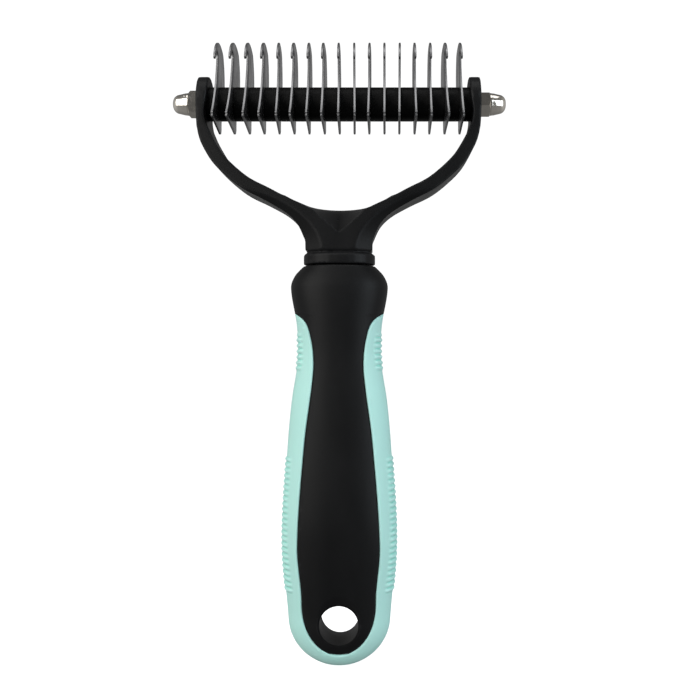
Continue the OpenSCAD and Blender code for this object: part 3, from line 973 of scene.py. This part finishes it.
def turn_spacer(name, long, radius, middle):
    """One spacer with its rims rounded."""
    end, rim = long / 2, 0.25 * MM
    half = [(end, radius - rim), (end - 0.3 * rim, radius - 0.3 * rim), (end - rim, radius),
            (end - 2 * rim, radius)]
    spacer = turned(name, both_ways(half), middle, (1, 0, 0), 72)
    smooth(spacer, 40)
    return spacer


class RAKE_OT_spacers(bpy.types.Operator):
    """Turn the black spacers that hold the blades apart"""
    bl_idname = "rake.spacers"
    bl_label = "Spacers"

    def execute(self, context):
        plastic = spacer_plastic()
        patterns = {}
        for node in SPACERS:
            low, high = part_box(node)
            long, radius = high.x - low.x, (high.z - low.z) / 2
            middle = Vector(((low.x + high.x) / 2, AXLE.y, AXLE.z))
            key = round(long / MM, 2)
            name = node.replace("spacer", "bar_spacer")
            if key in patterns:
                pattern, home = patterns[key]
                piece = copy_of(pattern, name, middle - home)
            else:
                piece = turn_spacer(name, long, radius, middle)
                patterns[key] = (piece, middle)
            finish_piece(piece, "blade_head", "spacer_plastic", plastic, node)
        return {"FINISHED"}


# ---- Blades ----

def centre_of(a, b, c):
    """Centre of the circle through three points."""
    d = 2 * (a[0] * (b[1] - c[1]) + b[0] * (c[1] - a[1]) + c[0] * (a[1] - b[1]))
    sq = [p[0] ** 2 + p[1] ** 2 for p in (a, b, c)]
    return ((sq[0] * (b[1] - c[1]) + sq[1] * (c[1] - a[1]) + sq[2] * (a[1] - b[1])) / d,
            (sq[0] * (c[0] - b[0]) + sq[1] * (a[0] - c[0]) + sq[2] * (b[0] - a[0])) / d)


def arc(a, b, c, steps):
    """Points on the arc that starts at a, passes through b and ends at c."""
    o = centre_of(a, b, c)
    r = math.hypot(a[0] - o[0], a[1] - o[1])
    turn = 1 if (b[0] - a[0]) * (c[1] - b[1]) - (b[1] - a[1]) * (c[0] - b[0]) > 0 else -1
    start, stop = math.atan2(a[1] - o[1], a[0] - o[0]), math.atan2(c[1] - o[1], c[0] - o[0])
    sweep = turn * ((turn * (stop - start)) % (2 * math.pi))
    return [(o[0] + r * math.cos(start + sweep * i / steps), o[1] + r * math.sin(start + sweep * i / steps))
            for i in range(steps + 1)]


HONED = (-4.6, 11.2)    # where the honed stretch of the cutting edge starts and ends, in millimetres up
BLADE_LAND = 0.36       # half thickness left at a blade's rim, as a share of its thickness
FLAT_LEAN = 0.9995      # a face that points less than this along the axle belongs to the bevel


def blade_outline():
    """Outline round the bore, in millimetres: first number to the back, second up."""
    return (arc((-13.4, -5.05), (-7.6, 3.2), (-4.5, 11), 18)
            + arc((-4.1, 12.3), (-4.9, 14.4), (-6.6, 13.4), 10)
            + arc((-7.6, 11.7), (-8.4, 11.3), (-9.1, 11.8), 6)
            + arc((-8.8, 13.1), (-6.9, 15.4), (-3.8, 17.3), 10)
            + arc((-2.8, 17.7), (1.2, 17.9), (4.9, 17), 10)
            + arc((5.8, 16.5), (7.7, 12.6), (8.3, 7.5), 10)
            + arc((8.2, 6.5), (5.9, 0.5), (2.2, -4.6), 10)
            + arc((2.0, -6.6), (1.5, -8.4), (0.3, -8.9), 6)
            + arc((-12.9, -6.75), (-13.65, -6.3), (-13.45, -5.95), 8)
            + arc((-13.45, -5.85), (-13.7, -5.45), (-13.5, -5.15), 6))


def hone(blade, x, beyond, sizes):
    """Widens the bevel of the cutting edge by drawing the flats' rim back from it."""
    for vertex in blade.data.vertices:
        up = (vertex.co.z - AXLE.z) / MM
        if abs(vertex.co.x - x) > beyond and vertex.co.y < -2 * MM and HONED[0] < up < HONED[1]:
            k = (up - HONED[0]) / (HONED[1] - HONED[0])
            vertex.co.y += sizes.blade_hone * math.sin(math.pi * k) ** 0.7


def cut_blade(name, x, sizes):
    """One blade: a flat blank with a ground bevel round it and a bore for the axle."""
    outline = blade_outline()
    put_down()
    bpy.ops.mesh.primitive_circle_add(vertices=len(outline), radius=0.01, fill_type="NGON")
    blade = named(name)
    land = BLADE_LAND * sizes.blade_t
    for vertex, (back, up) in zip(blade.data.vertices, outline):
        vertex.co = (x - land, back * MM, AXLE.z + up * MM)
    edit(blade, everything=True)
    bpy.ops.mesh.extrude_region_move(TRANSFORM_OT_translate={"value": (2 * land, 0, 0)})
    bpy.ops.mesh.select_all(action="SELECT")
    bpy.ops.mesh.normals_make_consistent(inside=False)
    push = sizes.blade_t / 2 - land
    for way in (-1, 1):
        pick_faces(blade, lambda f: f.normal.x * way > 0.9 and len(f.verts) > 8)
        bpy.ops.mesh.inset(thickness=sizes.blade_edge, depth=0, use_even_offset=True)
        bpy.ops.transform.translate(value=(push * way, 0, 0))
    put_down()
    hone(blade, x, land + 0.5 * push, sizes)
    drill(blade, AXLE_RADIUS + BORE_PLAY, -DRILL_REACH, DRILL_REACH, (x, AXLE.y, AXLE.z))
    return blade


class RAKE_OT_blades(bpy.types.Operator):
    """Cut the hooked blades, each with ground edges and a slight twist of its own"""
    bl_idname = "rake.blades"
    bl_label = "Blades"

    def execute(self, context):
        sizes, colours = context.scene.rake_sizes, context.scene.rake_colours
        flat, ground = blade_flat(colours.steel), blade_ground(colours.steel)
        chance = random.Random(17)
        home = sum(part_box(BLADES[0]), Vector()) / 2
        pattern = cut_blade("blade_pattern", home.x, sizes)
        on_bevel = [int(abs(face.normal.x) <= FLAT_LEAN) for face in pattern.data.polygons]
        for node in BLADES:
            low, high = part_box(node)
            middle = (low.x + high.x) / 2
            blade = copy_of(pattern, node.replace("blade", "rake_blade"), Vector((middle - home.x, 0, 0)))
            edit(blade, everything=True)
            twist = chance.uniform(-1, 1) * sizes.blade_twist
            lean = chance.uniform(-0.3, 0.3) * sizes.blade_twist
            hub = (middle, AXLE.y, AXLE.z)
            bpy.ops.transform.rotate(value=twist, orient_axis="Z", center_override=hub)
            bpy.ops.transform.rotate(value=lean, orient_axis="Y", center_override=hub)
            put_down()
            smooth(blade, 20)
            finish_piece(blade, "blade_head", "blade_steel", flat, node)
            blade.data.materials.append(ground)
            for face, slot in zip(blade.data.polygons, on_bevel):
                face.material_index = slot
        throw_away(pattern)
        return {"FINISHED"}


# ---- Washers and cap nuts ----

class RAKE_OT_washers(bpy.types.Operator):
    """Press the plated washers that sit in the fork's eyes"""
    bl_idname = "rake.washers"
    bl_label = "Washers"

    def execute(self, context):
        nickel = bright_metal("washer nickel", context.scene.rake_colours.nickel, 0.16, 0.3, (1, 1, 6))
        for side, way in SIDES.items():
            low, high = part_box("washer_" + side)
            centre = (low + high) / 2
            end, radius, rim = (high.x - low.x) / 2, (high.z - low.z) / 2, 0.15 * MM
            half = [(end, radius - rim), (end - rim, radius)]
            washer = turned("nut_washer_" + side, both_ways(half), centre, (way, 0, 0), 72)
            drill(washer, AXLE_RADIUS + WASHER_PLAY, -DRILL_REACH, DRILL_REACH, centre)
            smooth(washer, 30)
            finish_piece(washer, side + "_washer", "nickel", nickel, "washer_" + side)
        return {"FINISHED"}


NUT_REST = {"left": math.radians(14), "right": math.radians(-16)}    # how far round each nut stands
DOME_FOOT, DOME_SHOULDER = 3.3 * MM, 2.85 * MM                       # the dome's radius below and above
DOME_STRAIGHT = 2.6 * MM                                             # height of its slightly tapered part
THREAD_DEPTH = 6.2 * MM


def hexagon_form(tall, corner):
    """What is left of a hexagon when its corners are chamfered, the far ones more."""
    return [(-0.5 * MM, corner - 1.0 * MM), (0.0, corner - 0.45 * MM),
            (0.35 * MM, corner + 0.05 * MM), (tall - 0.45 * MM, corner + 0.05 * MM),
            (tall, corner - 0.6 * MM), (tall + 0.5 * MM, corner - 1.3 * MM)]


def dome_form(low, top):
    """The nut's dome: a slightly tapered wall from the hexagon up, closed by a flattened crown."""
    wall = [(low - 0.6 * MM, DOME_FOOT), (low + 0.25 * MM, DOME_FOOT + 0.05 * MM),
            (low + 0.5 * MM, DOME_FOOT - 0.02 * MM), (low + 1.2 * MM, DOME_FOOT - 0.09 * MM),
            (low + DOME_STRAIGHT, DOME_SHOULDER + 0.04 * MM)]
    start = low + DOME_STRAIGHT
    crown = [(start + (top - start) * math.sin(t), DOME_SHOULDER * (0.25 + 0.75 * math.cos(t)))
             for t in np.radians([8, 18, 28, 38, 48, 58, 68, 78, 90])]
    return wall + crown + [(top, 0.1 * DOME_SHOULDER)]


class RAKE_OT_cap_nuts(bpy.types.Operator):
    """Make the bright cap nuts: a chamfered hexagon with a tapered dome"""
    bl_idname = "rake.cap_nuts"
    bl_label = "Cap nuts"

    def execute(self, context):
        sizes = context.scene.rake_sizes
        nickel = bright_metal("bright nickel", context.scene.rake_colours.nickel, 0.06, 0.14, ripple=0.00012)
        corner, hexagon = sizes.nut_af / math.sqrt(3), sizes.nut_hex_h
        for side, way in SIDES.items():
            low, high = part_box("cap_nut_" + side)
            foot = (low.x if way > 0 else high.x, AXLE.y, AXLE.z)
            along = (way, 0, 0)
            nut = turned("cap_nut_" + side + "_body", [(0, corner), (hexagon, corner)], foot, along, 6)
            carve(nut, turned("chamfer_tool", hexagon_form(hexagon, corner), foot, along, 96), "INTERSECT")
            carve(nut, turned("dome_tool", dome_form(hexagon, high.x - low.x), foot, along, 96), "UNION")
            drill(nut, AXLE_RADIUS + BORE_PLAY, -MM, THREAD_DEPTH, foot, along)
            edit(nut, everything=True)
            bpy.ops.transform.rotate(value=NUT_REST[side], orient_axis="X", center_override=foot)
            put_down()
            smooth(nut, 28)
            finish_piece(nut, side + "_nut", "nickel", nickel, "cap_nut_" + side)
        return {"FINISHED"}


# ---- Stage ----

VIEW_HEIGHT, VIEW_AWAY, VIEW_RIGHT = 84 * MM, 283 * MM, 11 * MM
VIEW_LENS, VIEW_FILM = 50, 36
WALL_FRONT, WALL_BACK, WALL_SIDES, WALL_TOP, WALL_FOOT = 0.055, 0.3, 0.42, 0.03, 0.08
FLOOR_GLOW, GROUND_SEEN = 0.85, 1.05
LAMPS_FACE = Vector((0, 0, 0.08))
LAMPS = {
    # name: place, width and height, power, tone
    "key": ((-0.42, -0.5, 0.3), (0.6, 0.85), 3.8, (1.0, 0.985, 0.955)),
    "fill": ((0.5, -0.42, 0.2), (0.45, 0.65), 2.3, (0.84, 0.93, 1.0)),
    "top": ((0.0, -0.1, 0.62), (0.5, 0.3), 0.7, (1, 1, 1)),
}


def softbox(name, place, size, power, tone):
    """A large soft lamp that faces the middle of the rake."""
    lamp = bpy.data.lights.new(name, "AREA")
    lamp.shape, lamp.size, lamp.size_y = "RECTANGLE", size[0], size[1]
    lamp.energy, lamp.color = power, tone
    holder = bpy.data.objects.new(name, lamp)
    holder.location = place
    facing = LAMPS_FACE - Vector(place)
    holder.rotation_euler = facing.to_track_quat("-Z", "Y").to_euler()
    bpy.context.scene.collection.objects.link(holder)


def walls(tree):
    """Brightness of the studio: dark in front, brighter behind and to both sides, faint above and below."""
    def maths(operation, one, other):
        made = tree.nodes.new("ShaderNodeMath")
        made.operation = operation
        for socket, value in zip(made.inputs, (one, other)):
            if isinstance(value, bpy.types.NodeSocket):
                tree.links.new(value, socket)
            else:
                socket.default_value = value
        return made.outputs["Value"]

    way = tree.nodes.new("ShaderNodeSeparateXYZ")
    tree.links.new(tree.nodes.new("ShaderNodeTexCoord").outputs["Generated"], way.inputs["Vector"])
    side = maths("MULTIPLY", maths("POWER", maths("ABSOLUTE", way.outputs["X"], 0), 1.5), WALL_SIDES)
    high = maths("MULTIPLY", maths("MAXIMUM", way.outputs["Z"], 0), WALL_TOP)
    low = maths("MULTIPLY", maths("MAXIMUM", maths("MULTIPLY", way.outputs["Z"], -1), 0), WALL_FOOT)
    back = maths("MULTIPLY", maths("POWER", maths("MAXIMUM", way.outputs["Y"], 0), 10), WALL_BACK)
    return maths("ADD", maths("ADD", maths("ADD", side, back), maths("ADD", high, low)), WALL_FRONT)


def lay_floor(tone):
    """The pale floor, which neither lights nor mirrors in the rake."""
    put_down()
    bpy.ops.mesh.primitive_plane_add(size=6, location=(0, 0, HANDLE_FOOT))
    floor = named("studio_floor")
    paper = Finish("pale floor")
    paper.tint(paper.blend(paper.noise(0.05), shade(tone, 0.99), shade(tone, 1.01)))
    paper.shader.inputs["Roughness"].default_value = 0.8
    paper.shader.inputs["Emission Color"].default_value = (1, 1, 1, 1)
    paper.shader.inputs["Emission Strength"].default_value = FLOOR_GLOW
    floor.data.materials.append(paper.material)
    floor.visible_diffuse = floor.visible_glossy = False


def light_studio(scene):
    """A plain white ground for the camera, and walls of uneven brightness for everything else."""
    world = bpy.data.worlds.new("studio")
    scene.world = world
    world.use_nodes = True
    tree = world.node_tree
    tree.nodes.clear()
    seen, lit = (tree.nodes.new("ShaderNodeBackground") for _ in range(2))
    for light in (seen, lit):
        light.inputs["Color"].default_value = (1, 1, 1, 1)
    seen.inputs["Strength"].default_value = GROUND_SEEN
    tree.links.new(walls(tree), lit.inputs["Strength"])
    path = tree.nodes.new("ShaderNodeLightPath")
    choice = tree.nodes.new("ShaderNodeMixShader")
    out = tree.nodes.new("ShaderNodeOutputWorld")
    tree.links.new(path.outputs["Is Camera Ray"], choice.inputs["Fac"])
    tree.links.new(lit.outputs["Background"], choice.inputs[1])
    tree.links.new(seen.outputs["Background"], choice.inputs[2])
    tree.links.new(choice.outputs["Shader"], out.inputs["Surface"])


def set_camera(scene):
    """A level camera in front, a little to the right, its frame shifted back onto the rake."""
    camera = bpy.data.objects.new("camera", bpy.data.cameras.new("camera"))
    scene.collection.objects.link(camera)
    camera.data.lens, camera.data.sensor_width = VIEW_LENS, VIEW_FILM
    camera.data.clip_start = 0.01
    camera.location = (VIEW_RIGHT, -VIEW_AWAY, VIEW_HEIGHT)
    camera.rotation_euler = (math.pi / 2, 0, 0)
    camera.data.shift_x = -VIEW_RIGHT / VIEW_AWAY * VIEW_LENS / VIEW_FILM
    scene.camera = camera
    scene.view_settings.view_transform = "Standard"
    scene.view_settings.look = "None"


class RAKE_OT_stage(bpy.types.Operator):
    """Set the pale floor, the soft studio light and the camera"""
    bl_idname = "rake.stage"
    bl_label = "Stage"

    def execute(self, context):
        lay_floor(context.scene.rake_colours.floor)
        light_studio(context.scene)
        for name, lamp in LAMPS.items():
            softbox(name, *lamp)
        set_camera(context.scene)
        return {"FINISHED"}


class RAKE_PT_panel(bpy.types.Panel):
    """Lists the rake's pieces"""
    bl_idname = "RAKE_PT_panel"
    bl_label = "Dematting rake"
    bl_space_type = "VIEW_3D"
    bl_region_type = "UI"
    bl_category = "Rake"

    def draw(self, context):
        for piece in PIECES:
            self.layout.operator(piece.bl_idname)
        for group in (context.scene.rake_sizes, context.scene.rake_colours):
            box = self.layout.box()
            for key in group.__annotations__:
                box.prop(group, key)


PIECES = (RAKE_OT_handle_core, RAKE_OT_soft_grip, RAKE_OT_fork, RAKE_OT_axle, RAKE_OT_spacers, RAKE_OT_blades,
          RAKE_OT_washers, RAKE_OT_cap_nuts, RAKE_OT_stage)
CLASSES = (RakeSizes, RakeColours, *PIECES, RAKE_PT_panel)


def register():
    for each in CLASSES:
        bpy.utils.register_class(each)
    bpy.types.Scene.rake_sizes = PointerProperty(type=RakeSizes)
    bpy.types.Scene.rake_colours = PointerProperty(type=RakeColours)


def unregister():
    del bpy.types.Scene.rake_sizes
    del bpy.types.Scene.rake_colours
    for each in reversed(CLASSES):
        bpy.utils.unregister_class(each)


def main():
    register()
    for piece in PIECES:
        group, name = piece.bl_idname.split(".")
        getattr(getattr(bpy.ops, group), name)()


if __name__ == "__main__":
    main()
